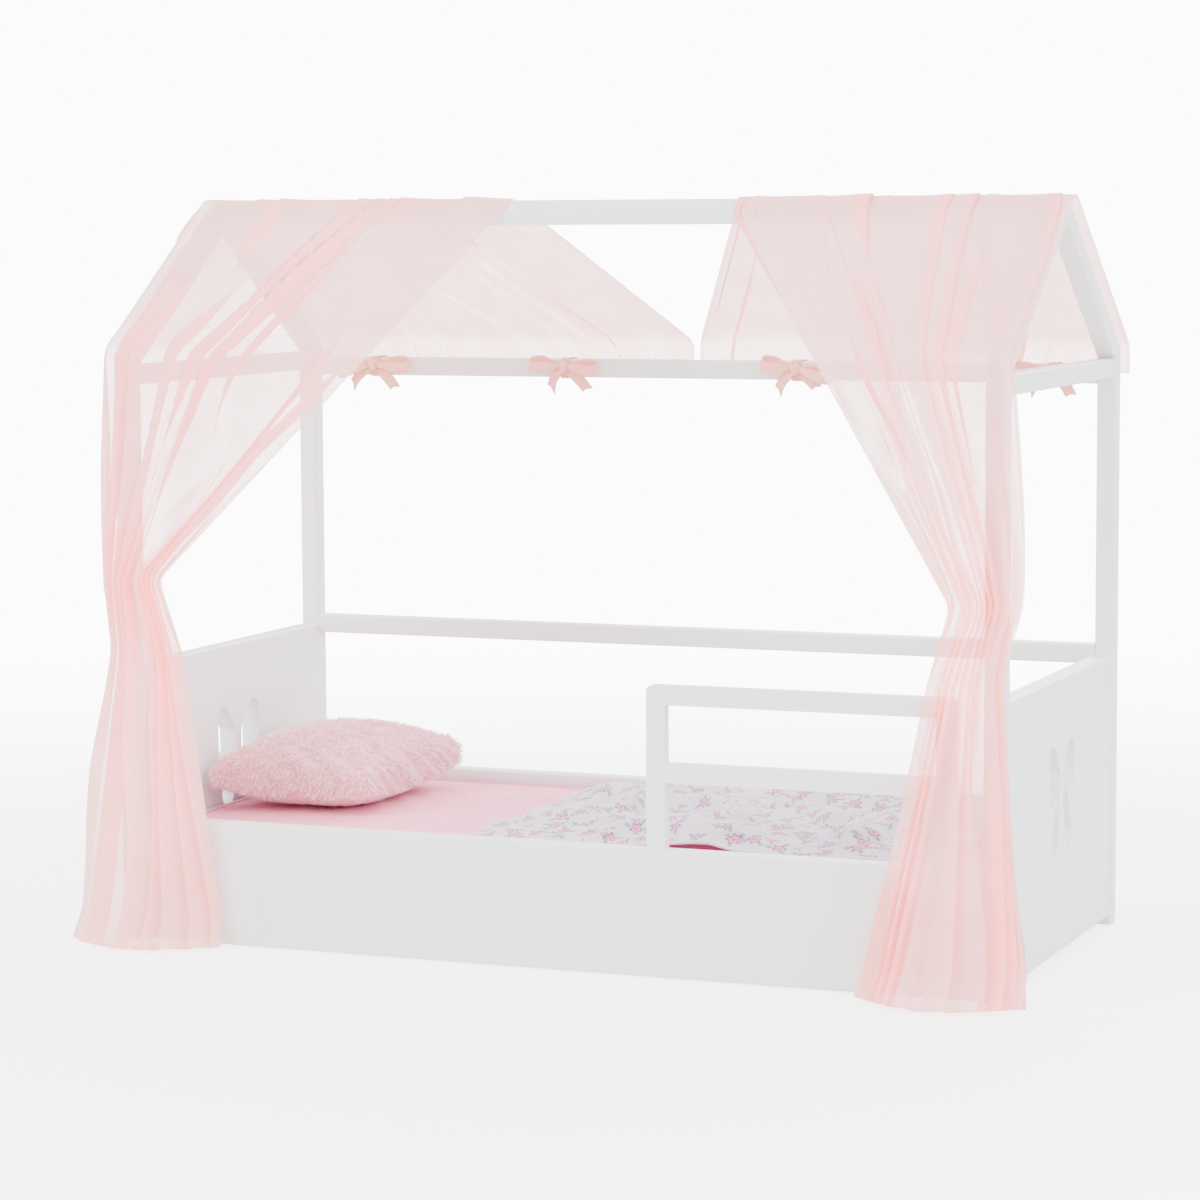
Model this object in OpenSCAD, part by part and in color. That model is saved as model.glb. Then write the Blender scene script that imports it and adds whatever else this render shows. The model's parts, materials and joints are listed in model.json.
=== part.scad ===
// Doll's house-frame canopy bed for a doll of about 46 to 50 cm.
// Millimetres. X runs along the bed, Y from front to back, Z up.
// The origin is on the floor, in the middle of the whole footprint with the canopy's hem.

/* [Overall size] */
// Length over the posts, head to foot
bed_length = 560; // [500:5:640]
// Depth over the posts, front to back
bed_depth = 264; // [230:2:300]
// Height of a post's outer top corner, where the roof starts
eave_height = 360; // [320:5:420]
// Pitch of the roof in degrees
roof_pitch = 35; // [30:1:40]
// Side of the square timber in the posts, rafters, beams and rails
stock = 12; // [11:0.5:13]
// Radius of the softened long edges of the timber
edge_radius = 1.2; // [0.6:0.1:2]

/* [Panels] */
// Height of the head and foot panels' top edge
end_panel_top = 170; // [160:1:200]
// Gap between the head and foot panels and the floor
end_panel_gap = 6; // [2:1:12]
// Height of the front and back panels' top edge
side_panel_top = 76; // [70:1:86]
// Gap between the front and back panels and the floor
side_panel_gap = 1; // [0.5:0.5:4]
// How far the end panels and tie beams sit inside the posts' end faces
end_recess = 1; // [0.5:0.5:2]
// Height of the bow-shaped cut-out's centre above the floor
cutout_height = 99; // [94:1:108]

/* [Rails and beams] */
// Top of the back rail at the height of the end panels
back_rail_top = 176; // [172:1:210]
// Top of the beam along the back eave
eave_beam_top = 350; // [340:1:351]
// Half the width of the ridge beam
ridge_half_width = 12; // [10:0.5:14]

/* [Guard rail] */
// Left edge of the guard rail, measured from the bed's middle
guard_left = 66; // [20:1:100]
// Right edge of the guard rail, measured from the bed's middle
guard_right = 252; // [200:1:256]
// Top of the guard rail above the floor
guard_top = 172.5; // [150:0.5:200]
// Width of the guard rail's uprights and bars
guard_bar = 11.5; // [9:0.5:14]
// Depth of the guard rail, front to back
guard_depth = 7; // [6:0.5:10]

/* [Bedding] */
// Top of the base board that carries the mattress
board_top = 34; // [30:1:40]
// Top of the mattress
mattress_top = 71; // [60:1:74]
// Length of the pillow along Y
pillow_length = 158; // [120:2:190]
// Width of the pillow along X
pillow_width = 118; // [90:2:140]
// Length of the laid blanket along X
blanket_length = 296; // [240:2:320]
// Width of the laid blanket along Y
blanket_width = 222; // [180:2:228]

/* [Canopy] */
// How far the canopy's outer edges reach past the posts' end faces
canopy_overhang = 5; // [3:0.5:8]
// Height at which each panel is gathered round its front post
gather_height = 224; // [200:1:260]
// Height of the narrow waist under the gather
waist_height = 180; // [150:1:190]
// How far the hem spreads sideways past the posts' end faces
hem_spread = 26; // [10:1:40]
// How far the hem comes forward of the posts' front faces
hem_forward = 38; // [15:1:50]
// Thickness of the canopy solid
canopy_thickness = 0.8; // [0.6:0.1:1.2]

/* [Hidden] */
half_l = bed_length / 2;
half_d = bed_depth / 2;
inner_l = half_l - stock;
inner_d = half_d - stock;
edge_facets = 32;
slack = 0.05;

// Roof geometry in the end view: the outer line falls from the ridge to the eave corner
rise = tan(roof_pitch);
ridge_height = eave_height + half_d * rise;
mitre_angle = (90 - roof_pitch) / 2;
inner_corner = eave_height - stock * tan(mitre_angle);
rafter_length = half_d / cos(roof_pitch);
ridge_bottom = ridge_height - stock / cos(roof_pitch) - 0.7;

// End panels and tie beams share one plane, a little inside the posts' end faces
end_outer = half_l - end_recess;
end_inner = end_outer - stock;
end_middle = end_outer - stock / 2;
tie_top = inner_corner - 0.1;

// The back edge of the canopy hangs behind the eave beam, the hem lies in front of the posts
canopy_gap = 2.6;
back_reach = half_d + canopy_gap + canopy_thickness / 2;
front_reach = half_d + hem_forward + canopy_thickness / 2;
centre_y = (front_reach - back_reach) / 2;

// Dowels
panel_dowel_d = 6;
panel_dowel_length = 18;
beam_dowel_d = 4;
beam_dowel_length = 15;
beam_dowel_in_post = 6;
side_dowel_z = [22, 56];
end_dowel_z = [40, 140];
tie_dowel_z = tie_top - 5.5;
eave_dowel_z = eave_beam_top - 7;
rail_dowel_z = back_rail_top - stock / 2;
ridge_dowel_y = 7;
ridge_dowel_z = ridge_bottom + 3.6;
mitre_dowel_length = 9;
apex_dowel_length = 8;
apex_dowel_z = ridge_height - stock / cos(roof_pitch) / 2 - 1;

// Battens, base board and their screws
board_thickness = 4;
batten_top = board_top - board_thickness;
batten_half_length = inner_l - 28;
batten_screw_x = [-110, 110];
batten_screw_length = 18;
board_screw_x = [-220, 0, 220];
board_screw_length = 12;
screw_d = 3;
screw_head_d = 6;
screw_head_height = 1.6;

// Guard rail
guard_front = -half_d;
guard_radius = 4;
guard_middle_top = side_panel_top + (guard_top - side_panel_top) * 0.53;
guard_dowel_d = 4;
guard_dowel_depth = 12;
guard_dowel_up = 10;
guard_dowel_x = [guard_left + guard_bar / 2, guard_right - guard_bar / 2];
guard_dowel_y = guard_front + guard_depth / 2;

// Bedding
mattress_clear = 2;
mattress_radius = 10;
bed_clear = 0.2;
pillow_x = -inner_l + 5 + pillow_width / 2;
pillow_y = 18;
pillow_height = 50;
blanket_x = 88;
blanket_height = 10;

// Bow-shaped cut-out: centre [y, z] and radius of the circles that carry each half
lobe_top = [21, 25, 7.5];
lobe_low = [22.5, 1.5, 5.5];
lobe_knot = [8.5, 13, 5];
neck = [8.6, -3, 5.8];
tail_tip = [16.2, -25, 7.8];
tangent_inset = 0.05;

// Ribbon bows tied round the eave beam
bow_x = [-223, -86, 73, 240];
bow_height = eave_beam_top - stock / 2 + 1;
ribbon_width = 7;
ribbon_thickness = 0.6;
ribbon_gap = 0.3;
bow_loop = 21;
bow_tail = 30;

// Canopy grid, and where each panel's free edge runs:
// [ridge, back eave, gather, waist, hem], each measured from the bed's middle
canopy_columns = 12;
left_free = [73, 2, 249, 234, 208];
right_free = [77, 2, 249, 236, 199];

// ---- Placing ----

// Puts a shape drawn round the middle of the timber frame into the bed's own frame
module placed() {
    translate([0, centre_y, 0])
        children();
}

// Turns a shape drawn at the back right corner to the corner at side_x, side_y (1 or -1)
module at_corner(side_x, side_y) {
    mirror([side_x < 0 ? 1 : 0, 0, 0])
        mirror([0, side_y < 0 ? 1 : 0, 0])
            children();
}

// ---- Timber ----

module softened_square(width, height, radius) {
    square([width - 2 * radius, height], center = true);
    square([width, height - 2 * radius], center = true);
    for (x = [-1, 1], y = [-1, 1])
        translate([x * (width / 2 - radius), y * (height / 2 - radius)])
            circle(r = radius, $fn = edge_facets);
}

// A bar along X, Y or Z that fills the box from low to high, with softened long edges
module bar(low, high, along, radius = edge_radius) {
    size = high - low;
    turn = along == "x" ? [90, 0, 90] : along == "y" ? [-90, 0, 0] : [0, 0, 0];
    start = along == "x" ? [0, size.y / 2, size.z / 2]
        : along == "y" ? [size.x / 2, 0, size.z / 2]
        : [size.x / 2, size.y / 2, 0];
    section = along == "x" ? [size.y, size.z] : along == "y" ? [size.x, size.z] : [size.x, size.y];
    reach = along == "x" ? size.x : along == "y" ? size.y : size.z;
    translate(low + start)
        rotate(turn)
            linear_extrude(reach)
                softened_square(section.x, section.y, radius);
}

module peg_x(d, from, to, y, z) {
    translate([from, y, z])
        rotate([0, 90, 0])
            cylinder(d = d, h = to - from, $fn = 48);
}

module peg_y(d, from, to, x, z) {
    translate([x, from, z])
        rotate([-90, 0, 0])
            cylinder(d = d, h = to - from, $fn = 48);
}

// Everything above the mitre plane at the back right eave corner
module above_mitre() {
    translate([inner_l - 1, half_d, eave_height])
        rotate([mitre_angle, 0, 0])
            translate([0, -3 * stock, 0])
                cube([stock + 2, 4 * stock, 3 * stock]);
}

// Everything below that same plane
module below_mitre() {
    translate([inner_l - 1, half_d, eave_height])
        rotate([mitre_angle, 0, 0])
            translate([0, -3 * stock, -3 * stock])
                cube([stock + 2, 4 * stock, 3 * stock]);
}

// The pin across the back right mitre, grown by grow all round
module mitre_pin(grow = 0) {
    translate([end_middle, half_d - stock / 2, (eave_height + inner_corner) / 2])
        rotate([mitre_angle, 0, 0])
            cylinder(
                d = beam_dowel_d + 2 * grow,
                h = mitre_dowel_length + 2 * grow,
                center = true,
                $fn = 48
            );
}

// The pin across the two rafters where they meet under the ridge's end
module apex_pin(grow = 0) {
    reach = apex_dowel_length / 2 + grow;
    peg_y(beam_dowel_d + 2 * grow, -reach, reach, end_middle + 1, apex_dowel_z);
}

// The pins between the right end of the ridge beam and the back rafter
module ridge_pin(grow = 0) {
    reach = beam_dowel_length - beam_dowel_in_post;
    peg_x(beam_dowel_d + 2 * grow, inner_l - reach - grow, inner_l + beam_dowel_in_post + grow,
        ridge_dowel_y, ridge_dowel_z);
}

// The pins in the back right post and what they hold
module side_panel_pins(grow = 0) {
    reach = panel_dowel_length / 2 - 1;
    for (z = side_dowel_z)
        peg_x(
            panel_dowel_d + 2 * grow,
            inner_l - reach - 2 - grow,
            inner_l + reach + grow,
            half_d - stock / 2,
            z
        );
}

module end_panel_pins(grow = 0) {
    reach = panel_dowel_length / 2 - 1;
    for (z = end_dowel_z)
        peg_y(panel_dowel_d + 2 * grow, inner_d - reach - 2 - grow, inner_d + reach + grow, end_middle, z);
}

module tie_pin(grow = 0) {
    peg_y(beam_dowel_d + 2 * grow, inner_d - beam_dowel_length + beam_dowel_in_post - grow,
        inner_d + beam_dowel_in_post + grow, end_middle, tie_dowel_z);
}

module back_pin(z, grow = 0) {
    peg_x(beam_dowel_d + 2 * grow, inner_l - beam_dowel_length + beam_dowel_in_post - grow,
        inner_l + beam_dowel_in_post + grow, half_d - stock / 2, z);
}

// ---- Frame ----

module post(side_x, side_y) {
    color("white")
        placed()
            at_corner(side_x, side_y)
                difference() {
                    bar([inner_l, inner_d, 0], [half_l, half_d, eave_height + 1], "z");
                    above_mitre();
                    mitre_pin(slack);
                    side_panel_pins(slack);
                    end_panel_pins(slack);
                    tie_pin(slack);
                    if (side_y > 0) {
                        back_pin(eave_dowel_z, slack);
                        back_pin(rail_dowel_z, slack);
                    }
                }
}

module rafter(side_x, side_y) {
    color("white")
        placed()
            at_corner(side_x, side_y)
                difference() {
                    translate([0, 0, ridge_height])
                        rotate([-roof_pitch, 0, 0])
                            bar([inner_l, -stock, -stock], [half_l, rafter_length + stock, 0], "y");
                    translate([inner_l - 1, -3 * stock, ridge_height - 4 * stock])
                        cube([stock + 2, 3 * stock, 5 * stock]);
                    below_mitre();
                    mitre_pin(slack);
                    apex_pin(slack);
                    ridge_pin(slack);
                }
}

module tie_beam(side_x) {
    color("white")
        placed()
            mirror([side_x < 0 ? 1 : 0, 0, 0])
                difference() {
                    bar([end_inner, -inner_d, tie_top - stock], [end_outer, inner_d, tie_top], "y");
                    for (side_y = [-1, 1])
                        at_corner(1, side_y)
                            tie_pin(slack);
                }
}

// Five-sided section: the two upper faces lie in the roof slopes
module ridge_beam() {
    shoulder = ridge_height - ridge_half_width * rise;
    color("white")
        placed()
            difference() {
                translate([-inner_l, 0, 0])
                    rotate([90, 0, 90])
                        linear_extrude(2 * inner_l)
                            polygon([
                                [-ridge_half_width, ridge_bottom], [ridge_half_width, ridge_bottom],
                                [ridge_half_width, shoulder], [0, ridge_height],
                                [-ridge_half_width, shoulder]
                            ]);
                for (side_x = [-1, 1], side_y = [-1, 1])
                    at_corner(side_x, side_y)
                        ridge_pin(slack);
            }
}

// A beam between the back posts with its top at the given height
module back_beam(top, pin_z) {
    color("white")
        placed()
            difference() {
                bar([-inner_l, inner_d, top - stock], [inner_l, half_d, top], "x");
                for (side_x = [-1, 1])
                    at_corner(side_x, 1)
                        back_pin(pin_z, slack);
            }
}

// ---- Panels ----

// The taper between two circles, drawn a little inside their shared tangents so that it crosses them
module taper(a, b) {
    run = [b[0] - a[0], b[1] - a[1]];
    heading = atan2(run.y, run.x);
    lean = acos((a[2] - b[2]) / norm(run));
    polygon([
        for (end = [[a, 1], [b, 1], [b, -1], [a, -1]])
            let (r = end[0][2] - tangent_inset)
            [end[0][0] + r * cos(heading + end[1] * lean), end[0][1] + r * sin(heading + end[1] * lean)]
    ]);
}

module disc(c) {
    translate([c[0], c[1]])
        circle(r = c[2], $fn = 64);
}

// One half of the bow: a loop over a tail, joined by a neck beside the knot
module half_bow() {
    for (c = [lobe_top, lobe_low, lobe_knot, neck, tail_tip])
        disc(c);
    polygon([for (c = [lobe_top, lobe_low, lobe_knot]) [c[0], c[1]]]);
    taper(lobe_top, lobe_low);
    taper(lobe_top, lobe_knot);
    taper(lobe_low, lobe_knot);
    taper(lobe_knot, neck);
    taper(neck, tail_tip);
}

module end_panel(side_x) {
    color("white")
        placed()
            mirror([side_x < 0 ? 1 : 0, 0, 0])
                difference() {
                    bar([end_inner, -inner_d, end_panel_gap], [end_outer, inner_d, end_panel_top], "y");
                    for (side_y = [-1, 1])
                        at_corner(1, side_y) {
                            end_panel_pins(slack);
                            translate([end_inner - 1, 0, cutout_height])
                                rotate([90, 0, 90])
                                    linear_extrude(stock + 2)
                                        half_bow();
                        }
                }
}

module side_panel(side_y) {
    color("white")
        placed()
            mirror([0, side_y < 0 ? 1 : 0, 0])
                difference() {
                    bar([-inner_l, inner_d, side_panel_gap], [inner_l, half_d, side_panel_top], "x");
                    for (side_x = [-1, 1])
                        at_corner(side_x, 1)
                            side_panel_pins(slack);
                    if (side_y < 0)
                        for (x = guard_dowel_x)
                            translate([x, -guard_dowel_y, side_panel_top - guard_dowel_depth - 1])
                                cylinder(
                                    d = guard_dowel_d + 2 * slack,
                                    h = guard_dowel_depth + 2,
                                    $fn = 48
                                );
                    for (x = batten_screw_x)
                        batten_screw(x, slack);
                }
}

// A countersunk screw along -Z with its head's flat at the origin
module screw(length, grow = 0) {
    translate([0, 0, -length - grow])
        cylinder(d = screw_d + 2 * grow, h = length + grow, $fn = 32);
    translate([0, 0, -screw_head_height])
        cylinder(d1 = screw_d + 2 * grow, d2 = screw_head_d + 2 * grow, h = screw_head_height, $fn = 32);
}

// A screw through the back batten into the back panel, at x
module batten_screw(x, grow = 0) {
    translate([x, inner_d - stock, batten_top - stock / 2])
        rotate([90, 0, 0])
            screw(batten_screw_length, grow);
}

// A screw down through the base board into the back batten, at x
module board_screw(x, grow = 0) {
    translate([x, inner_d - stock / 2, board_top])
        screw(board_screw_length, grow);
}

module batten(side_y) {
    color("white")
        placed()
            mirror([0, side_y < 0 ? 1 : 0, 0])
                difference() {
                    bar([-batten_half_length, inner_d - stock, batten_top - stock],
                        [batten_half_length, inner_d, batten_top], "x", 0.6);
                    for (x = batten_screw_x)
                        batten_screw(x, slack);
                    for (x = board_screw_x)
                        board_screw(x, slack);
                }
}

module base_board() {
    color("white")
        placed()
            difference() {
                translate([0, 0, batten_top + board_thickness / 2])
                    cube([2 * end_inner - 2, 2 * inner_d - 2, board_thickness], center = true);
                for (side_y = [-1, 1], x = board_screw_x)
                    at_corner(1, side_y)
                        board_screw(x, slack);
            }
}

// ---- Guard rail, which lifts out of the front panel ----

// The back left corner is square; the outer top corner is round, on the side that side_x gives
module guard_upright(side_x) {
    height = guard_top - side_panel_top;
    outer = side_x < 0 ? guard_left : guard_right;
    color("white")
        placed()
            translate([outer, guard_front + guard_depth, side_panel_top])
                mirror([side_x < 0 ? 0 : 1, 0, 0])
                    difference() {
                        rotate([90, 0, 0])
                            linear_extrude(guard_depth) {
                                square([guard_bar, height - guard_radius]);
                                translate([guard_radius, 0])
                                    square([guard_bar - guard_radius, height]);
                                translate([guard_radius, height - guard_radius])
                                    circle(r = guard_radius, $fn = 64);
                            }
                        translate([guard_bar / 2, -guard_depth / 2, -1])
                            cylinder(
                                d = guard_dowel_d + 2 * slack,
                                h = guard_dowel_up + 1 + slack,
                                $fn = 48
                            );
                    }
}

module guard_bar_between(top) {
    color("white")
        placed()
            translate([guard_left + guard_bar, guard_front, top - guard_bar])
                cube([guard_right - guard_left - 2 * guard_bar, guard_depth, guard_bar]);
}

module guard_dowels() {
    color("burlywood")
        placed()
            for (x = guard_dowel_x)
                translate([x, guard_dowel_y, side_panel_top - guard_dowel_depth])
                    cylinder(d = guard_dowel_d, h = guard_dowel_depth + guard_dowel_up, $fn = 48);
}

// ---- Fasteners ----

module panel_dowels() {
    color("burlywood")
        placed()
            for (side_x = [-1, 1], side_y = [-1, 1])
                at_corner(side_x, side_y) {
                    side_panel_pins();
                    end_panel_pins();
                }
}

module beam_dowels() {
    color("burlywood")
        placed()
            for (side_x = [-1, 1], side_y = [-1, 1])
                at_corner(side_x, side_y) {
                    tie_pin();
                    ridge_pin();
                    if (side_y > 0) {
                        back_pin(eave_dowel_z);
                        back_pin(rail_dowel_z);
                    }
                }
}

module mitre_dowels() {
    color("burlywood")
        placed()
            for (side_x = [-1, 1]) {
                at_corner(side_x, 1)
                    apex_pin();
                for (side_y = [-1, 1])
                    at_corner(side_x, side_y)
                        mitre_pin();
            }
}

module batten_screws() {
    color("silver")
        placed()
            for (side_y = [-1, 1], x = batten_screw_x)
                at_corner(1, side_y)
                    batten_screw(x);
}

module board_screws() {
    color("silver")
        placed()
            for (side_y = [-1, 1], x = board_screw_x)
                at_corner(1, side_y)
                    board_screw(x);
}

// ---- Bedding ----

module mattress() {
    color("hotpink")
        placed()
            translate([0, 0, board_top + bed_clear])
                linear_extrude(mattress_top - board_top - bed_clear)
                    softened_square(2 * (end_inner - mattress_clear), 2 * (inner_d - mattress_clear),
                        mattress_radius);
}

module pillow() {
    corner = 12;
    crown = pillow_height / 2;
    color("pink")
        placed()
            translate([pillow_x, pillow_y, mattress_top + bed_clear])
                hull() {
                    for (x = [-1, 1], y = [-1, 1])
                        translate([
                            x * (pillow_width / 2 - corner),
                            y * (pillow_length / 2 - corner),
                            crown
                        ])
                            sphere(r = corner, $fn = 32);
                    for (y = [-1, 1])
                        translate([0, y * pillow_length / 6, crown])
                            sphere(r = crown, $fn = 32);
                }
}

module blanket() {
    color("lavenderblush")
        placed()
            translate([blanket_x, 0, mattress_top + bed_clear])
                linear_extrude(blanket_height)
                    softened_square(blanket_length, blanket_width, mattress_radius);
}

// ---- Canopy ----

function mix(a, b, t) = a + (b - a) * t;
function ease(t) = t <= 0 ? 0 : t >= 1 ? 1 : t * t * (3 - 2 * t);

// Height of a roof slope at distance y from the ridge, lifted clear of the timber
function roof_z(y) = ridge_height + canopy_gap - abs(y) * rise;

// The part over the rafter and down the post, by path length, from the ridge's shoulder
function held_path(p, shoulder) =
    let (roof_run = (half_d - shoulder) / cos(roof_pitch))
    let (drop = roof_z(half_d) - gather_height)
    let (s = p * (roof_run + drop))
    s < roof_run
        ? [-mix(shoulder, half_d + canopy_gap, s / roof_run), roof_z(mix(shoulder, half_d, s / roof_run))]
        : [-half_d - canopy_gap, roof_z(half_d) - (s - roof_run)];

// The straight run of the free edge from the ridge's shoulder to the gather
function free_path(p, shoulder) =
    [-mix(shoulder, half_d + canopy_gap + 1, p), mix(roof_z(shoulder), gather_height, p)];

// One point of the sheet, on the +X side. t runs from the outer edge (0) to the free edge (1),
// and u from the back hem (0) over the ridge to the floor (1).
function sheet_point(t, u, free) =
    let (outer = half_l + canopy_overhang)
    let (shoulder = ridge_half_width + 2)
    let (back_x = mix(outer, free[1], t))
    let (ridge_x = mix(outer, free[0], t))
    let (gather_x = mix(outer, free[2], t))
    u < 0.06
        ? [back_x, half_d + canopy_gap, mix(eave_beam_top - 6, roof_z(half_d) - 1, u / 0.06)]
    : u < 0.26
        ? let (p = (u - 0.06) / 0.2)
          [mix(back_x, ridge_x, p), mix(half_d + canopy_gap, 0, p),
            mix(roof_z(half_d) - 1, ridge_height + canopy_gap, p)]
    : u < 0.3
        ? let (p = (u - 0.26) / 0.04)
          [ridge_x, -shoulder * p, roof_z(shoulder * p)]
    : u < 0.7
        ? let (p = (u - 0.3) / 0.4)
          let (yz = mix(held_path(p, shoulder), free_path(p, shoulder), ease((t - 0.34) / 0.5)))
          [mix(ridge_x, gather_x, p), yz[0], yz[1]]
    : u < 0.78
        ? let (p = (u - 0.7) / 0.08)
          [mix(gather_x, mix(half_l + 1, free[3], t), p),
            -half_d - canopy_gap - 1 - 4 * p * sin(180 * t),
            mix(gather_height, waist_height, p)]
        : let (p = (u - 0.78) / 0.22)
          [mix(mix(half_l + 1, free[3], t), mix(half_l + hem_spread, free[4], t), p),
            -half_d - canopy_gap - 1 - mix(4, hem_forward - canopy_gap - 1, p) * sin(180 * t),
            mix(waist_height, 1, p)];

// Stations along the sheet: the bends of its path, and even steps between them
stations = concat(
    [0, 0.06],
    [for (i = [1:3]) 0.06 + 0.2 * i / 4],
    [0.26, 0.3],
    [for (i = [1:9]) 0.3 + 0.4 * i / 10],
    [0.7, 0.78],
    [for (i = [1:5]) 0.78 + 0.22 * i / 6],
    [1]
);

// The sheet's normal, from its neighbours on the grid
function sheet_normal(t, u, free) =
    let (step = 0.004)
    let (along = sheet_point(t, min(u + step, 1), free) - sheet_point(t, max(u - step, 0), free))
    let (sideways = sheet_point(min(t + step, 1), u, free) - sheet_point(max(t - step, 0), u, free))
    let (n = cross(along, sideways))
    n / norm(n);

// A closed sheet of even thickness, drawn on the +X side
module sheet(free) {
    rows = len(stations);
    count = canopy_columns + 1;
    face_size = rows * count;
    grid = [for (u = stations, i = [0:canopy_columns]) [i / canopy_columns, u]];
    outside = [for (g = grid) sheet_point(g[0], g[1], free)
        + sheet_normal(g[0], g[1], free) * canopy_thickness / 2];
    inside = [for (g = grid) sheet_point(g[0], g[1], free)
        - sheet_normal(g[0], g[1], free) * canopy_thickness / 2];
    cells = [for (r = [0:rows - 2], c = [0:canopy_columns - 1]) r * count + c];
    rim = concat(
        [for (c = [0:canopy_columns - 1]) [c, c + 1]],
        [for (r = [0:rows - 2]) [r * count + canopy_columns, (r + 1) * count + canopy_columns]],
        [for (c = [canopy_columns:-1:1]) [(rows - 1) * count + c, (rows - 1) * count + c - 1]],
        [for (r = [rows - 1:-1:1]) [r * count, (r - 1) * count]]
    );
    polyhedron(
        points = concat(outside, inside),
        faces = concat(
            [for (k = cells) [k, k + 1, k + count]],
            [for (k = cells) [k + 1, k + count + 1, k + count]],
            [for (k = cells) [face_size + k, face_size + k + count, face_size + k + 1]],
            [for (k = cells) [face_size + k + 1, face_size + k + count, face_size + k + count + 1]],
            [for (e = rim) [e[1], e[0], face_size + e[0]]],
            [for (e = rim) [e[1], face_size + e[0], face_size + e[1]]]
        )
    );
}

module canopy(side_x, free) {
    color("mistyrose")
        placed()
            mirror([side_x < 0 ? 1 : 0, 0, 0])
                sheet(free);
}

// ---- Ribbon bow, tied round the eave beam at x ----

module bow(x) {
    front = inner_d - ribbon_gap - ribbon_thickness;
    under = eave_beam_top - stock - ribbon_gap - ribbon_thickness;
    across = stock + 2 * (ribbon_gap + ribbon_thickness);
    color("lightsalmon")
        placed()
            translate([x, 0, 0]) {
                difference() {
                    translate([-ribbon_width / 2, front, under])
                        cube([ribbon_width, across, across]);
                    translate([-ribbon_width, inner_d - ribbon_gap, eave_beam_top - stock - ribbon_gap])
                        cube([2 * ribbon_width, stock + 2 * ribbon_gap, stock + 2 * ribbon_gap]);
                }
                translate([0, front + 0.1, bow_height])
                    rotate([90, 0, 0])
                        linear_extrude(4)
                            bow_outline();
            }
}

// The flat outline of a tied bow: a knot, two loops and two tails
module bow_outline() {
    square([ribbon_width, ribbon_width], center = true);
    for (side = [-1, 1]) {
        loop = [side * bow_loop, 3, ribbon_width * 0.7];
        disc(loop);
        taper([0, 0, ribbon_width / 3], loop);
        rotate(side * 38)
            translate([-ribbon_width / 2, -bow_tail])
                square([ribbon_width, bow_tail]);
    }
}

post(-1, -1);  // post_front_left
post(1, -1);  // post_front_right
post(-1, 1);  // post_back_left
post(1, 1);  // post_back_right
rafter(-1, -1);  // rafter_front_left
rafter(1, -1);  // rafter_front_right
rafter(-1, 1);  // rafter_back_left
rafter(1, 1);  // rafter_back_right
tie_beam(-1);  // tie_beam_left
tie_beam(1);  // tie_beam_right
ridge_beam();
back_beam(eave_beam_top, eave_dowel_z);  // back_eave_beam
back_beam(back_rail_top, rail_dowel_z);  // back_rail
end_panel(-1);  // end_panel_head
end_panel(1);  // end_panel_foot
side_panel(-1);  // front_panel
side_panel(1);  // back_panel
batten(-1);  // batten_front
batten(1);  // batten_back
base_board();
guard_upright(-1);  // guard_upright_left
guard_upright(1);  // guard_upright_right
guard_bar_between(guard_top);  // guard_top_bar
guard_bar_between(guard_middle_top);  // guard_middle_bar
guard_dowels();
panel_dowels();
beam_dowels();
mitre_dowels();
batten_screws();
board_screws();
mattress();
pillow();
blanket();
canopy(-1, left_free);  // canopy_left
canopy(1, right_free);  // canopy_right
bow(bow_x[0]);  // bow_far_left
bow(bow_x[1]);  // bow_left
bow(bow_x[2]);  // bow_right
bow(bow_x[3]);  // bow_far_right
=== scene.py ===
import json
import math
import bpy
import numpy as np
from mathutils import Matrix, Vector

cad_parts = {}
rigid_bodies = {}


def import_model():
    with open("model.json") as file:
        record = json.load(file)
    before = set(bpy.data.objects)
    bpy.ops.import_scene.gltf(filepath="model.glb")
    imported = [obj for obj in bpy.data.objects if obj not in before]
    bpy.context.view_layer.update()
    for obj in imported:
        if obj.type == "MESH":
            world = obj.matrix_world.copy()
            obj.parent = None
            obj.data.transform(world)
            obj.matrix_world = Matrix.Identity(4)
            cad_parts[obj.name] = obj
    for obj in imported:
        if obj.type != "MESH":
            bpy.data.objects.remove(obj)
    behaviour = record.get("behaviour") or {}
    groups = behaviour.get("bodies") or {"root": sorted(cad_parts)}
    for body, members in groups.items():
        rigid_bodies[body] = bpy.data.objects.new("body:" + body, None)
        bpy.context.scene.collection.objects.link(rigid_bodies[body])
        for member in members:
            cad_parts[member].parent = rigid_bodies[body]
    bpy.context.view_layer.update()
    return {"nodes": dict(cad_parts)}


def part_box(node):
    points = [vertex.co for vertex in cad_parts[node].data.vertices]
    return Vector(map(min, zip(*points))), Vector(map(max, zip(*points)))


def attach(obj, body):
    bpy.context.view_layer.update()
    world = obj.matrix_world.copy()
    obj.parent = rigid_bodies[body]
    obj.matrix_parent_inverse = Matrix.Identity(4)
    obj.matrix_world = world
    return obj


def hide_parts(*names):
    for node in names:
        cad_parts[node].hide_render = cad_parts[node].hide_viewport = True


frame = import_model()

# ---------------------------------------------------------------- places taken from the CAD nodes

post_low, post_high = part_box("post_front_right")
back_post_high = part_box("post_back_right")[1]
half_length = post_high[0]
half_depth = (back_post_high[1] - post_low[1]) / 2
middle_y = (back_post_high[1] + post_low[1]) / 2
eave_z = post_high[2]
ridge_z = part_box("ridge_beam")[1][2]
beam_low, beam_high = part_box("back_eave_beam")
mattress_low, mattress_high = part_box("mattress")
roof_pitch = math.atan2(ridge_z - eave_z, half_depth)

# ---------------------------------------------------------------- camera, lights and floor


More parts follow.
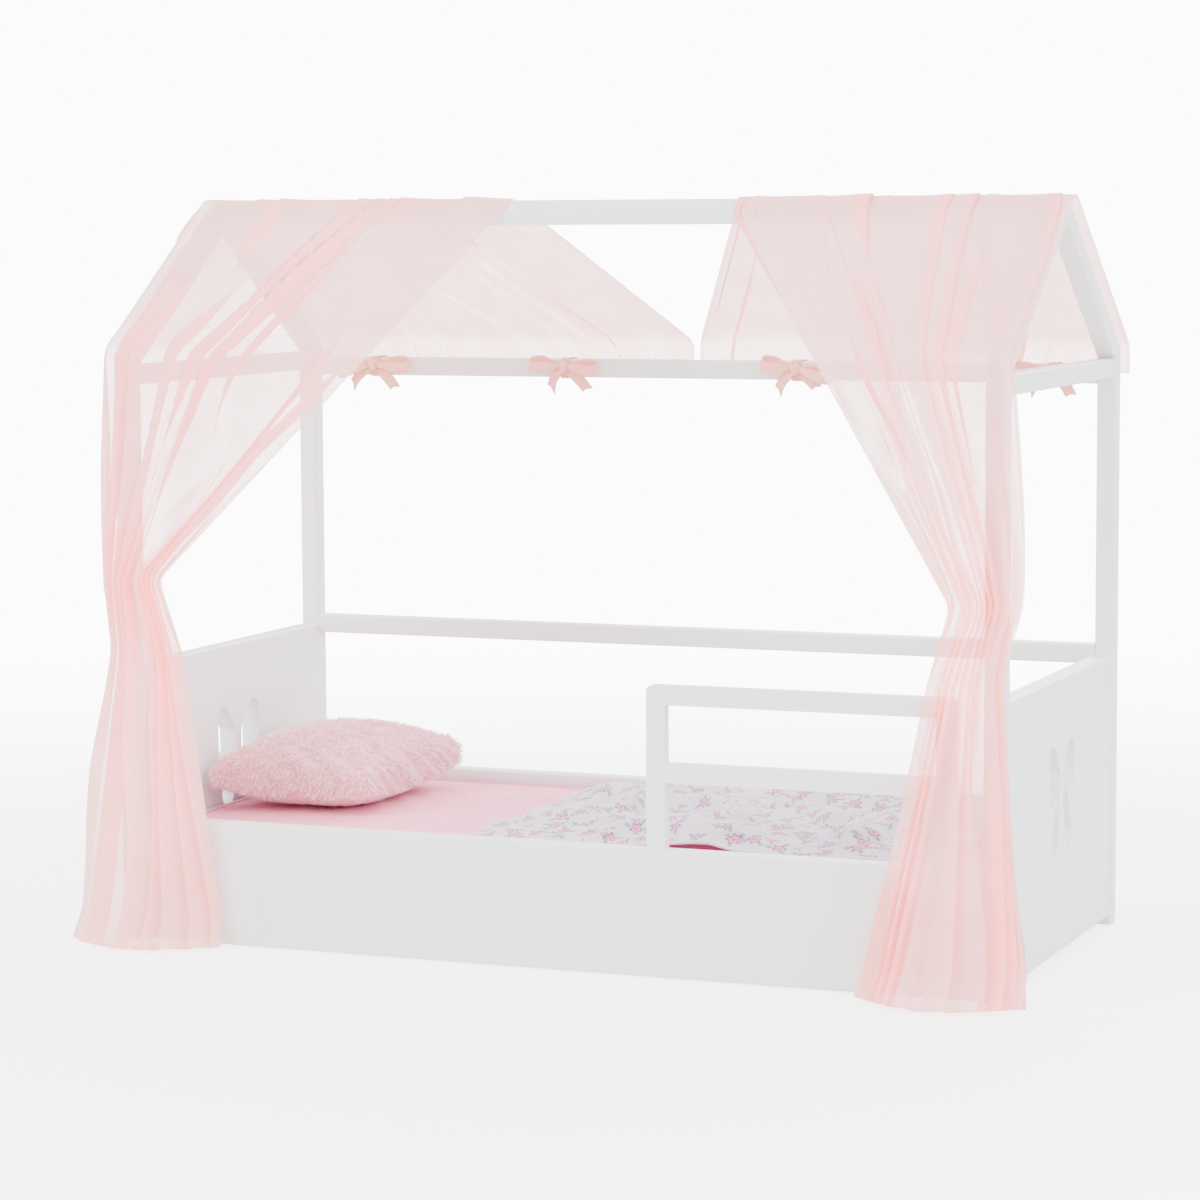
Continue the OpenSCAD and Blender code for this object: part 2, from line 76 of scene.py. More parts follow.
def make_camera():
    """A long lens from the front right, almost as high as the ridge, fitted to the bed's straight edges."""
    place = (0.8203, -2.0727, 0.4399)
    yaw, pitch, roll = math.radians(21.78), math.radians(5.93), math.radians(-0.29)
    data = bpy.data.cameras.new("camera")
    data.lens = 109.7
    data.sensor_width = 36
    camera = bpy.data.objects.new("camera", data)
    bpy.context.scene.collection.objects.link(camera)
    turn = (Matrix.Rotation(yaw, 4, "Z") @ Matrix.Rotation(math.pi / 2 - pitch, 4, "X")
            @ Matrix.Rotation(roll, 4, "Z"))
    camera.matrix_world = Matrix.Translation(place) @ turn
    bpy.context.scene.camera = camera


def area_light(name, place, target, size, power, colour):
    """A round soft light that looks at a target."""
    data = bpy.data.lights.new(name, "AREA")
    data.shape = "DISK"
    data.size = size
    data.energy = power
    data.color = colour
    light = bpy.data.objects.new(name, data)
    light.location = place
    aim = Vector(target) - Vector(place)
    light.rotation_euler = aim.to_track_quat("-Z", "Y").to_euler()
    bpy.context.scene.collection.objects.link(light)


def make_world():
    """White all round: bright behind the bed, softer as the light that falls on it."""
    strength_seen, strength_falling = 12.0, 2.8
    world = bpy.data.worlds.new("studio")
    world.use_nodes = True
    bpy.context.scene.world = world
    nodes, links = world.node_tree.nodes, world.node_tree.links
    nodes.clear()
    out = nodes.new("ShaderNodeOutputWorld")
    mix = nodes.new("ShaderNodeMixShader")
    path = nodes.new("ShaderNodeLightPath")
    light = nodes.new("ShaderNodeBackground")
    light.inputs["Color"].default_value = (0.97, 0.985, 1.0, 1)
    light.inputs["Strength"].default_value = strength_falling
    seen = nodes.new("ShaderNodeBackground")
    seen.inputs["Color"].default_value = (1, 1, 1, 1)
    seen.inputs["Strength"].default_value = strength_seen
    links.new(path.outputs["Is Camera Ray"], mix.inputs[0])
    links.new(light.outputs[0], mix.inputs[1])
    links.new(seen.outputs[0], mix.inputs[2])
    links.new(mix.outputs[0], out.inputs["Surface"])


# ---------------------------------------------------------------- mesh and material helpers

CORD_SIDES = 10


def new_mesh(name, vertices, faces):
    """A smooth-shaded mesh object in the scene."""
    mesh = bpy.data.meshes.new(name)
    mesh.from_pydata([tuple(v) for v in np.asarray(vertices, float)], [], [tuple(f) for f in faces])
    mesh.update()
    mesh.shade_smooth()
    piece = bpy.data.objects.new(name, mesh)
    bpy.context.scene.collection.objects.link(piece)
    return piece


def grid_faces(rows, columns, wrap_rows=False, wrap_columns=False):
    """Quads over points laid out row by row, closed round either way if asked."""
    faces = []
    for r in range(rows if wrap_rows else rows - 1):
        for c in range(columns if wrap_columns else columns - 1):
            after_r, after_c = (r + 1) % rows, (c + 1) % columns
            faces.append((r * columns + c, r * columns + after_c,
                          after_r * columns + after_c, after_r * columns + c))
    return faces


def smoothstep(x):
    x = np.clip(x, 0, 1)
    return x * x * (3 - 2 * x)


def lerp(a, b, t):
    return a + (b - a) * t


def rounded_oblong(low, high, radius, steps):
    """Points round an oblong with rounded corners, one quarter turn after the other."""
    points = []
    for cx, cy, start in ((high[0] - radius, high[1] - radius, 0), (low[0] + radius, high[1] - radius, 90),
                          (low[0] + radius, low[1] + radius, 180), (high[0] - radius, low[1] + radius, 270)):
        for turn in np.linspace(0, 90, steps):
            w = math.radians(start + turn)
            points.append((cx + radius * math.cos(w), cy + radius * math.sin(w)))
    return points


def unit(vectors):
    """The same directions at length 1."""
    return vectors / np.linalg.norm(vectors, axis=-1, keepdims=True)


def round_cord(name, path, out, radii, widen=1.0):
    """A closed cord along a closed path: out is the way across it, and widen makes it oval."""
    ahead = unit(np.roll(path, -1, axis=0) - np.roll(path, 1, axis=0))
    up = np.cross(out, ahead)
    turn = 2 * math.pi * np.arange(CORD_SIDES) / CORD_SIDES
    sideways = out[:, None, :] * (radii[:, None] * widen * np.cos(turn))[..., None]
    upwards = up[:, None, :] * (radii[:, None] * np.sin(turn))[..., None]
    points = (path[:, None, :] + sideways + upwards).reshape(-1, 3)
    return new_mesh(name, points, grid_faces(len(path), CORD_SIDES, wrap_rows=True, wrap_columns=True))


def ripples(seed, waves, low, high):
    """A smooth random field of two variables, about -1 to 1, from a few sine waves."""
    rng = np.random.default_rng(seed)
    across = rng.uniform(low, high, waves) * rng.choice([-1, 1], waves)
    along = rng.uniform(low, high, waves) * rng.choice([-1, 1], waves)
    phase = rng.uniform(0, 2 * math.pi, waves)
    weight = rng.uniform(0.5, 1, waves)
    weight = weight / np.sqrt((weight ** 2).sum() / 2) / 1.6

    def field(a, b):
        total = 0
        for k in range(waves):
            total = total + weight[k] * np.sin(2 * math.pi * (across[k] * a + along[k] * b) + phase[k])
        return total

    return field


class Material:
    """A node material with one Principled shader, and short ways to add nodes."""

    def __init__(self, name):
        self.material = bpy.data.materials.new(name)
        self.material.use_nodes = True
        self.nodes = self.material.node_tree.nodes
        self.links = self.material.node_tree.links
        self.shader = self.nodes["Principled BSDF"]
        self.place = self.nodes.new("ShaderNodeTexCoord").outputs["Object"]

    def node(self, kind, inputs=None, **settings):
        made = self.nodes.new("ShaderNode" + kind)
        for key, value in settings.items():
            setattr(made, key, value)
        for key, value in (inputs or {}).items():
            self.feed(value, made.inputs[key])
        return made

    def feed(self, value, socket):
        if isinstance(value, bpy.types.NodeSocket):
            self.links.new(value, socket)
        else:
            socket.default_value = value

    def math(self, operation, a, b=0.0):
        made = self.node("Math", operation=operation)
        self.feed(a, made.inputs[0])
        self.feed(b, made.inputs[1])
        return made.outputs[0]

    def plus(self, a, b):
        return self.math("ADD", a, b)

    def minus(self, a, b):
        return self.math("SUBTRACT", a, b)

    def times(self, a, b):
        return self.math("MULTIPLY", a, b)

    def less(self, a, b):
        return self.math("LESS_THAN", a, b)

    def vector(self, operation, a, b):
        return self.node("VectorMath", {0: a, 1: b}, operation=operation).outputs[0]

    def stretched(self, scale):
        return self.node("Mapping", {"Vector": self.place, "Scale": scale}).outputs[0]

    def noise(self, scale, detail=3.0, vector=None):
        return self.node("TexNoise", {"Vector": vector or self.place, "Scale": scale,
                                      "Detail": detail}).outputs["Fac"]

    def ramp(self, value, *stops):
        made = self.node("ValToRGB", {"Fac": value})
        while len(made.color_ramp.elements) < len(stops):
            made.color_ramp.elements.new(0.5)
        for element, (where, colour) in zip(made.color_ramp.elements, stops):
            element.position = where
            element.color = (*colour, 1)
        return made.outputs["Color"]

    def blend(self, factor, first, second):
        made = self.node("Mix", data_type="RGBA")
        self.feed(factor, made.inputs[0])
        self.feed(first, made.inputs[6])
        self.feed(second, made.inputs[7])
        return made.outputs[2]

    def remap(self, value, low, high, new_low, new_high):
        return self.node("MapRange", {"Value": value, 1: low, 2: high, 3: new_low, 4: new_high}).outputs[0]

    def bump(self, height, distance, strength=1.0):
        made = self.node("Bump", {"Height": height, "Distance": distance, "Strength": strength})
        self.links.new(made.outputs[0], self.shader.inputs["Normal"])

    def weave(self, pitch):
        """Height of a plain weave along all three axes: a thread and a gap take pitch metres each."""
        scale = math.pi / (20 * pitch)
        settings = {"Vector": self.place, "Scale": scale, "Distortion": 0.6, "Detail": 1.0}
        waves = [self.node("TexWave", settings, bands_direction=axis).outputs["Fac"]
                 for axis in ("X", "Y", "Z")]
        return self.times(self.plus(self.plus(waves[0], waves[1]), waves[2]), 0.34)

    def let_light_through(self, share, colour):
        """Thin cloth: a share of the light that lands on one side leaves from the other."""
        glow = self.node("BsdfTranslucent", {"Color": colour}).outputs[0]
        both = self.node("MixShader", {0: share, 1: self.shader.outputs[0], 2: glow}).outputs[0]
        self.links.new(both, self.nodes["Material Output"].inputs["Surface"])

    def set(self, **values):
        for key, value in values.items():
            self.feed(value, self.shader.inputs[key.replace("_", " ")])


# ---------------------------------------------------------------- materials


def white_paint(name, grain):
    """Satin white paint, with the wood's grain just showing along one axis."""
    m = Material(name)
    fibres = m.noise(60.0, 5.0, m.stretched(grain))
    broad = m.noise(9.0, 3.0)
    tone = m.plus(m.times(fibres, 0.4), m.times(broad, 0.6))
    colour = m.ramp(tone, (0.3, (0.735, 0.742, 0.738)), (0.7, (0.785, 0.79, 0.785)))
    peel = m.noise(700.0, 2.0)
    m.set(Base_Color=colour, Roughness=m.remap(peel, 0.2, 0.8, 0.34, 0.5), Coat_Weight=0.15,
          Coat_Roughness=0.3)
    m.bump(m.plus(m.times(fibres, 0.7), m.times(peel, 0.3)), 0.00018, 0.6)
    return m.material


def dowel_wood():
    m = Material("beech")
    rings = m.node("TexWave", {"Vector": m.place, "Scale": 90.0, "Distortion": 5.0, "Detail": 3.0,
                               "Detail Scale": 2.0}, bands_direction="Z").outputs["Fac"]
    pores = m.noise(500.0, 4.0, m.stretched((1, 0.2, 1)))
    colour = m.ramp(m.times(m.plus(rings, pores), 0.5),
                    (0.2, (0.58, 0.40, 0.24)), (0.8, (0.78, 0.62, 0.43)))
    m.set(Base_Color=colour, Roughness=0.65)
    m.bump(pores, 0.0002)
    return m.material


def screw_steel():
    m = Material("zinc")
    spots = m.node("TexVoronoi", {"Vector": m.place, "Scale": 900.0}).outputs["Color"]
    grey = m.node("RGBToBW", {"Color": spots}).outputs[0]
    m.set(Base_Color=m.ramp(grey, (0.0, (0.55, 0.56, 0.58)), (1.0, (0.78, 0.78, 0.8))), Metallic=1.0,
          Roughness=m.remap(grey, 0, 1, 0.25, 0.45))
    m.bump(grey, 0.00005)
    return m.material


def tulle_material():
    """Fine net. Each layer hides a share of what is behind it, more where it is seen edge-on."""
    m = Material("tulle")
    mesh_size = 0.0011
    cells = m.node("TexVoronoi", {"Vector": m.place, "Scale": 1 / mesh_size},
                   feature="DISTANCE_TO_EDGE")
    threads = m.remap(cells.outputs["Distance"], 0.0, 0.22, 1.0, 0.0)
    cloudy = m.noise(45.0, 3.0)
    hem = m.node("Attribute", attribute_name="hem").outputs["Fac"]
    share = m.plus(m.remap(threads, 0.0, 1.0, 0.64, 0.88), m.remap(cloudy, 0.3, 0.7, -0.04, 0.04))
    share = m.math("MINIMUM", m.plus(share, m.times(hem, 0.18)), 0.97)
    facing = m.node("LayerWeight", {"Blend": 0.5}).outputs["Facing"]
    straight = m.math("MAXIMUM", m.minus(1.0, facing), 0.5)
    clear = m.math("POWER", m.minus(1.0, share), m.math("DIVIDE", 1.0, straight))
    colour = m.ramp(m.noise(25.0), (0.3, (0.97, 0.70, 0.69)), (0.7, (0.99, 0.75, 0.74)))
    m.set(Base_Color=colour, Roughness=0.8, Sheen_Weight=0.15, Sheen_Roughness=0.4)
    m.bump(threads, 0.0002, 0.5)
    # light from behind soaks through the threads, and between them it passes straight; the red of the light
    # that soaks through is raised past one, a painted glow that gives out more red than falls on the cloth
    translucent_tint_with_painted_glow = m.vector("MULTIPLY", colour, (1.36, 0.98, 0.96))
    glow = m.node("BsdfTranslucent", {"Color": translucent_tint_with_painted_glow}).outputs[0]
    cloth = m.node("MixShader", {0: 0.5, 1: m.shader.outputs[0], 2: glow}).outputs[0]
    holes = m.node("BsdfTransparent").outputs[0]
    net = m.node("MixShader", {0: clear, 1: cloth, 2: holes}).outputs[0]
    m.links.new(net, m.nodes["Material Output"].inputs["Surface"])
    return m.material


def ribbon_material():
    m = Material("ribbon")
    ribs = m.node("TexWave", {"Vector": m.place, "Scale": 700.0, "Distortion": 0.4},
                  bands_direction="DIAGONAL").outputs["Fac"]
    colour = m.ramp(m.noise(160.0), (0.3, (0.88, 0.39, 0.31)), (0.7, (0.95, 0.49, 0.40)))
    m.set(Base_Color=colour, Roughness=0.55, Sheen_Weight=0.4, Sheen_Roughness=0.35)
    m.bump(ribs, 0.00012, 0.6)
    return m.material


def mattress_material():
    m = Material("mattress_cotton")
    threads = m.weave(0.00045)
    broad = m.noise(14.0, 4.0)
    colour = m.ramp(m.plus(m.times(threads, 0.25), m.times(broad, 0.75)),
                    (0.3, (0.86, 0.31, 0.45)), (0.7, (0.93, 0.38, 0.52)))
    m.set(Base_Color=colour, Roughness=0.85, Sheen_Weight=0.08, Sheen_Roughness=0.5, Specular_IOR_Level=0.15)
    m.bump(m.plus(threads, m.times(broad, 1.5)), 0.0004, 0.5)
    return m.material


def piping_material():
    m = Material("mattress_piping")
    cord = m.node("TexWave", {"Vector": m.place, "Scale": 260.0, "Distortion": 0.5},
                  bands_direction="DIAGONAL").outputs["Fac"]
    m.set(Base_Color=m.ramp(cord, (0.2, (0.84, 0.26, 0.40)), (0.8, (0.90, 0.35, 0.48))), Roughness=0.75,
          Sheen_Weight=0.3)
    m.bump(cord, 0.0003, 0.6)
    return m.material


def fur_material():
    """Plush: pale tips over deeper roots, in soft patches; the deeper roots are partly the plush's own
    colour and partly painted shade between the strands.
    """
    m = Material("plush")
    depth = m.node("Attribute", attribute_name="tip").outputs["Fac"]
    patch = m.noise(55.0, 3.0)
    tone = m.plus(m.times(depth, 0.75), m.times(patch, 0.35))
    colour = m.ramp(tone, (0.1, (0.92, 0.28, 0.38)), (0.5, (0.99, 0.60, 0.66)),
                    (0.95, (1.0, 0.85, 0.87)))
    m.set(Base_Color=colour, Roughness=0.85, Sheen_Weight=0.5, Sheen_Roughness=0.4)
    return m.material


def plush_base_material():
    m = Material("plush_backing")
    tufts = m.node("TexVoronoi", {"Vector": m.place, "Scale": 420.0}).outputs["Distance"]
    m.set(Base_Color=m.ramp(tufts, (0.0, (0.96, 0.58, 0.63)), (0.8, (0.88, 0.36, 0.44))), Roughness=0.9,
          Sheen_Weight=0.4)
    m.bump(tufts, 0.0012)
    return m.material


def rose_layer(m, cells_per_metre, size, skip, offset):
    """Flowers, outlines and leaves strewn one to a cell. Gives three masks: petal, outline and leaf."""
    cloth = m.node("Attribute", attribute_name="cloth").outputs["Vector"]
    flat = m.node("Mapping", {"Vector": cloth, "Location": offset}).outputs[0]
    # the drawing wanders a little, as if by hand
    wobble = m.node("TexNoise", {"Vector": flat, "Scale": 300.0, "Detail": 1.0}).outputs["Color"]
    bent = m.vector("SUBTRACT", wobble, (0.5, 0.5, 0.5))
    bent = m.node("VectorMath", {0: bent, "Scale": 0.0008}, operation="SCALE").outputs[0]
    flat = m.vector("ADD", flat, bent)
    cells = m.node("TexVoronoi", {"Vector": flat, "Scale": cells_per_metre, "Randomness": 0.75},
                   voronoi_dimensions="2D")
    chance = m.node("SeparateColor", {"Color": cells.outputs["Color"]}).outputs
    apart = m.node("SeparateXYZ", {0: m.vector("SUBTRACT", flat, cells.outputs["Position"])})
    x, y = apart.outputs[0], apart.outputs[1]
    reach = m.math("SQRT", m.plus(m.times(x, x), m.times(y, y)))
    bearing = m.plus(m.math("ARCTAN2", y, x), m.times(chance[1], 2 * math.pi))
    grown = m.remap(chance[0], 0.0, 1.0, 0.65 * size, 1.15 * size)
    # five petals round an eye, inside an outline
    petals = m.plus(0.80, m.times(m.math("SINE", m.times(bearing, 5.0)), 0.20))
    edge = m.times(grown, petals)
    shown = m.math("GREATER_THAN", chance[2], skip)
    inside = m.times(m.less(reach, edge), shown)
    core = m.less(reach, m.times(edge, 0.74))
    eye = m.less(reach, m.times(grown, 0.17))
    outline = m.times(inside, m.math("MAXIMUM", m.minus(1.0, core), eye))
    # three leaves that stand off from the flower
    swing = m.math("SINE", m.times(bearing, 1.5))
    along = m.math("DIVIDE", m.minus(reach, m.times(grown, 1.30)), m.times(grown, 0.50))
    width = m.times(m.minus(1.0, m.times(along, along)), 0.06)
    leaf = m.less(m.minus(1.0, m.math("ABSOLUTE", swing)), width)
    leaf = m.times(m.times(leaf, shown), m.minus(1.0, inside))
    return inside, outline, leaf


def print_material():
    """White cotton strewn with small roses, buds and leaves."""
    m = Material("rose_print")
    threads = m.weave(0.0004)
    base = m.ramp(m.noise(20.0), (0.3, (0.76, 0.745, 0.84)), (0.7, (0.82, 0.80, 0.88)))
    big = rose_layer(m, 62.0, 0.0047, 0.15, (0, 0, 0))
    small = rose_layer(m, 84.0, 0.0026, 0.35, (0.37, 0.21, 0))
    tint = base
    for petal, outline, leaf in (small, big):
        tint = m.blend(leaf, tint, (0.30, 0.48, 0.44, 1))
        tint = m.blend(petal, tint, (0.88, 0.42, 0.57, 1))
        tint = m.blend(outline, tint, (0.37, 0.13, 0.34, 1))
    m.set(Base_Color=tint, Roughness=0.85, Sheen_Weight=0.08, Sheen_Roughness=0.5, Specular_IOR_Level=0.2)
    m.bump(threads, 0.00025, 0.5)
    m.let_light_through(0.3, tint)
    return m.material


def cotton_material(name, dark, light):
    m = Material(name)
    threads = m.weave(0.0004)
    colour = m.ramp(m.noise(30.0), (0.3, dark), (0.7, light))
    m.set(Base_Color=colour, Roughness=0.85, Sheen_Weight=0.2)
    m.bump(threads, 0.0003, 0.5)
    m.let_light_through(0.3, colour)
    return m.material


def floor_material(reach):
    """Pale floor that fades away into the white background."""
    m = Material("studio_floor")
    away = m.node("VectorMath", {0: m.place}, operation="LENGTH").outputs["Value"]
    colour = m.ramp(m.noise(6.0, 2.0), (0.3, (0.88, 0.88, 0.885)), (0.7, (0.90, 0.90, 0.905)))
    fade = m.node("MapRange", {"Value": away, 1: reach * 0.25, 2: reach, 3: 0.7, 4: 0.0},
                  interpolation_type="SMOOTHSTEP").outputs[0]
    m.set(Base_Color=colour, Roughness=0.9, Alpha=fade, Specular_IOR_Level=0.1)
    return m.material


def make_floor():
    """A round floor with its surface just under the bed's feet."""
    reach, rings, spokes, level = 1.6, 12, 96, -0.0002
    vertices = [(0, 0, level)]
    for r in range(1, rings + 1):
        for s in range(spokes):
            a = 2 * math.pi * s / spokes
            vertices.append((reach * r / rings * math.cos(a), reach * r / rings * math.sin(a), level))
    faces = [(0, 1 + s, 1 + (s + 1) % spokes) for s in range(spokes)]
    for r in range(rings - 1):
        for s in range(spokes):
            a, b = 1 + r * spokes + s, 1 + r * spokes + (s + 1) % spokes
            faces.append((a, a + spokes, b + spokes, b))
    floor = new_mesh("floor", vertices, faces)
    floor.data.materials.append(floor_material(reach))


# ---------------------------------------------------------------- timber: CAD nodes keep their shape


def node_object(name):
    """The object of a CAD node."""
    for thing in bpy.data.objects:
        if thing.type == "MESH" and (thing.name == name or thing.data.name == name):
            return thing
    raise LookupError(name)


def paint_timber():
    """White paint with the grain along each timber, beech dowels and zinc screws."""
    stretch = 0.06
    along_x = white_paint("white_paint_x", (stretch, 1, 1))
    along_y = white_paint("white_paint_y", (1, stretch, 1))
    along_z = white_paint("white_paint_z", (1, 1, stretch))
    wood, steel = dowel_wood(), screw_steel()
    for name in frame["nodes"]:
        if name.startswith(("canopy", "bow_", "mattress", "pillow", "blanket")):
            continue
        low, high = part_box(name)
        size = [b - a for a, b in zip(low, high)]
        if name.endswith("dowels"):
            finish = wood
        elif name.endswith("screws"):
            finish = steel
        elif "post" in name or "upright" in name:
            finish = along_z
        else:
            finish = along_x if size[0] > size[1] else along_y
        thing = node_object(name)
        for slot in thing.material_slots:
            slot.material = finish


# ---------------------------------------------------------------- tulle canopy

GAP = 0.0026          # from the timber to the middle of the tulle
SHOULDER = 0.014      # where the sheet leaves the ridge, in front of its middle line
GATHER_Z = 0.224
WAIST_Z = 0.180
PLEATS = 8
POINTS_TO_A_PLEAT = 20
# Along the sheet, as shares of it: the back hem is 0 and the floor 1
BACK_EAVE, RIDGE, BROW, GATHER, WAIST = 0.06, 0.26, 0.30, 0.70, 0.78
# Where each panel's free edge runs, measured from the bed's middle, then how far the hem spreads past
# the posts and how far the panel billows out above the gather
LEFT_EDGE = {"ridge": 0.073, "back": 0.002, "gather": 0.249, "waist": 0.234, "hem": 0.208,
             "spread": 0.026, "billow": 0.001}
RIGHT_EDGE = {"ridge": 0.077, "back": 0.002, "gather": 0.249, "waist": 0.236, "hem": 0.199,
              "spread": 0.012, "billow": 0.008}
# Along the sheet: place, overlap of the pleats (over 1 they fold flat on each other) and their depth
PLEATING = np.array([
    (0.0, 0.8, 0.0018), (BACK_EAVE, 0.9, 0.0012), (RIDGE, 1.9, 0.0010), (BROW, 2.1, 0.0009),
    (0.45, 2.1, 0.0016), (0.60, 2.0, 0.0030), (GATHER, 1.6, 0.0044), (WAIST, 1.8, 0.0042),
    (0.88, 1.9, 0.0044), (1.0, 1.7, 0.0056)])
# Along the sheet: from, to and the number of rows of points
ROWS = [(0, BACK_EAVE, 6), (BACK_EAVE, RIDGE, 50), (RIDGE, BROW, 8), (BROW, GATHER, 86),
        (GATHER, WAIST, 16), (WAIST, 1.0, 60)]


def roof_z(y):
    return ridge_z + GAP - abs(y) * math.tan(roof_pitch)


def held_path(p):
    """Over the rafter and down the post, by length."""
    roof_run = (half_depth - SHOULDER) / math.cos(roof_pitch)
    s = p * (roof_run + roof_z(half_depth) - GATHER_Z)
    if s < roof_run:
        way = s / roof_run
        return -lerp(SHOULDER, half_depth + GAP, way), roof_z(lerp(SHOULDER, half_depth, way))
    return -half_depth - GAP, roof_z(half_depth) - (s - roof_run)


def free_path(p):
    """The straight run of the free edge."""
    return -lerp(SHOULDER, half_depth + GAP + 0.001, p), lerp(roof_z(SHOULDER), GATHER_Z, p)


def sheet_row(u, t, free):
    """One row of the unpleated sheet on the +X side: u from back hem to floor, t from outer to free edge."""
    outer = half_length + 0.005
    back_x, ridge_x, gather_x = (lerp(outer, free[key], t) for key in ("back", "ridge", "gather"))
    swell = math.sin(math.pi * min(max((u - 0.5) / (WAIST - 0.5), 0), 1))
    gather_x = gather_x + free["billow"] * swell * (1 - t)
    waist_x = lerp(half_length + 0.001, free["waist"], t)
    hem_x = lerp(half_length + free["spread"], free["hem"], t)
    belly = np.sin(math.pi * t)
    even = np.ones_like(t)
    eave = half_depth + GAP
    top = roof_z(half_depth) - 0.001
    if u < BACK_EAVE:
        p = u / BACK_EAVE
        x, y, z = back_x, even * eave, even * lerp(beam_high[2] - 0.006, top, p)
    elif u < RIDGE:
        p = (u - BACK_EAVE) / (RIDGE - BACK_EAVE)
        x, y, z = lerp(back_x, ridge_x, p), even * lerp(eave, 0, p), even * lerp(top, ridge_z + GAP, p)
    elif u < BROW:
        p = (u - RIDGE) / (BROW - RIDGE)
        x, y, z = ridge_x, -even * SHOULDER * p, even * roof_z(SHOULDER * p)
    elif u < GATHER:
        p = (u - BROW) / (GATHER - BROW)
        w = smoothstep((t - 0.34) / 0.5)
        held, loose = held_path(p), free_path(p)
        x, y, z = lerp(ridge_x, gather_x, p), lerp(held[0], loose[0], w), lerp(held[1], loose[1], w)
    elif u < WAIST:
        p = (u - GATHER) / (WAIST - GATHER)
        x = lerp(gather_x, waist_x, p)
        y = -eave - 0.001 - 0.004 * p * belly
        z = even * lerp(GATHER_Z, WAIST_Z, p)
    else:
        p = (u - WAIST) / (1 - WAIST)
        x = lerp(waist_x, hem_x, p)
        y = -eave - 0.001 - lerp(0.004, 0.027, p ** 1.2) * belly - 0.007 * smoothstep((p - 0.9) / 0.1)
        z = even * lerp(WAIST_Z, 0.0012, p)
    return np.stack([x, y, z], axis=-1)


def outward_normals(us, s, free):
    """Directions straight out of the unpleated sheet, away from the bed."""
    base = np.array([sheet_row(u, s, free) for u in us])
    normal = np.cross(np.gradient(base, axis=1), np.gradient(base, axis=0))
    normal /= np.maximum(np.linalg.norm(normal, axis=-1, keepdims=True), 1e-12)
    outward = np.array([0, 1, 0]) * np.where(us < 0.2, 1.0, -1.0)[:, None] + np.array([0, 0, 0.5])
    return normal * np.sign((normal * outward[:, None, :]).sum(-1, keepdims=True))


def pleated_sheet(us, s, free, seed):
    """The sheet's points with its pleats, which run from the back hem to the floor."""
    drift = ripples(seed, 6, 0.5, 2.0)
    fullness = ripples(seed + 1, 8, 1.5, 5.5)
    shiver = ripples(seed + 2, 8, 2.0, 7.0)
    normal = outward_normals(us, s, free)
    window = smoothstep(s / 0.05) * smoothstep((1 - s) / 0.06)
    placed = np.empty_like(normal)
    for r, u in enumerate(us):
        phase = 2 * math.pi * (PLEATS * s + 0.9 * drift(s * 1.5, u * 0.8)) + seed
        # on the roof some pleats open and others close up; towards the gather they even out
        evened = smoothstep((u - 0.36) / 0.16)
        uneven = lerp(0.85, 0.5, evened) * fullness(s * 1.2, u * 0.75)
        opened = np.clip(lerp(0.66, 0.95, evened) + uneven, 0.0, 1.7)
        overlap = np.interp(u, PLEATING[:, 0], PLEATING[:, 1]) * opened * window
        depth = np.interp(u, PLEATING[:, 0], PLEATING[:, 2]) * (0.6 + 0.4 * np.abs(opened)) * window
        t = np.clip(s + overlap / (2 * math.pi * PLEATS) * np.sin(phase), 0, 1)
        way = np.stack([np.interp(t, s, normal[r, :, k]) for k in range(3)], axis=-1)
        # where it hangs free it also shivers a little
        hang = smoothstep((u - 0.32) / 0.2) * smoothstep((0.72 - u) / 0.1) * smoothstep((s - 0.3) / 0.3)
        lift = depth * (1 - np.sin(phase)) + 0.0016 * (1 + shiver(s, u * 1.5)) * hang * window
        placed[r] = sheet_row(u, t, free) + way * lift[:, None]
    for _ in range(3):
        placed[1:-1] = (placed[:-2] + 2 * placed[1:-1] + placed[2:]) / 4
    foot = placed[..., 2] < 0.02
    placed[..., 2] = np.where(foot, np.maximum(placed[..., 2], 0.0008), placed[..., 2])
    return placed


def tulle(name, node, side, free, seed):
    """One canopy panel, on the -X or the +X side of the bed."""
    us = np.concatenate([np.linspace(a, b, n, endpoint=False) for a, b, n in ROWS] + [[1.0]])
    s = np.linspace(0, 1, PLEATS * POINTS_TO_A_PLEAT + 1)
    placed = pleated_sheet(us, s, free, seed)
    vertices = placed.reshape(-1, 3) * np.array([side, 1, 1]) + np.array([0, middle_y, 0])
    piece = new_mesh(name, vertices, grid_faces(len(us), len(s)))
    # the hem is doubled over, so it is denser
    sides = np.minimum(s, 1 - s)[None, :] / 0.012
    ends = np.minimum(us / 0.006, (1 - us) / 0.006)[:, None]
    hem = piece.data.attributes.new("hem", "FLOAT", "POINT")
    hem.data.foreach_set("value", np.clip(1 - np.minimum(sides, ends), 0, 1).astype(np.float32).ravel())
    piece.data.materials.append(tulle_cloth)
    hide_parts(node)
    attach(piece, "frame")


# ---------------------------------------------------------------- ribbon bows

RIBBON_WIDTH = 0.0070
RIBBON_THICKNESS = 0.0004
# Half of the ribbon's section, in widths and thicknesses: an oblong with its corners taken off
HALF_SECTION = [(-0.5, 0.0), (-0.47, 0.5), (-0.25, 0.5), (0.0, 0.5), (0.25, 0.5), (0.47, 0.5)]
SECTION = HALF_SECTION + [(-a, -b) for a, b in HALF_SECTION]


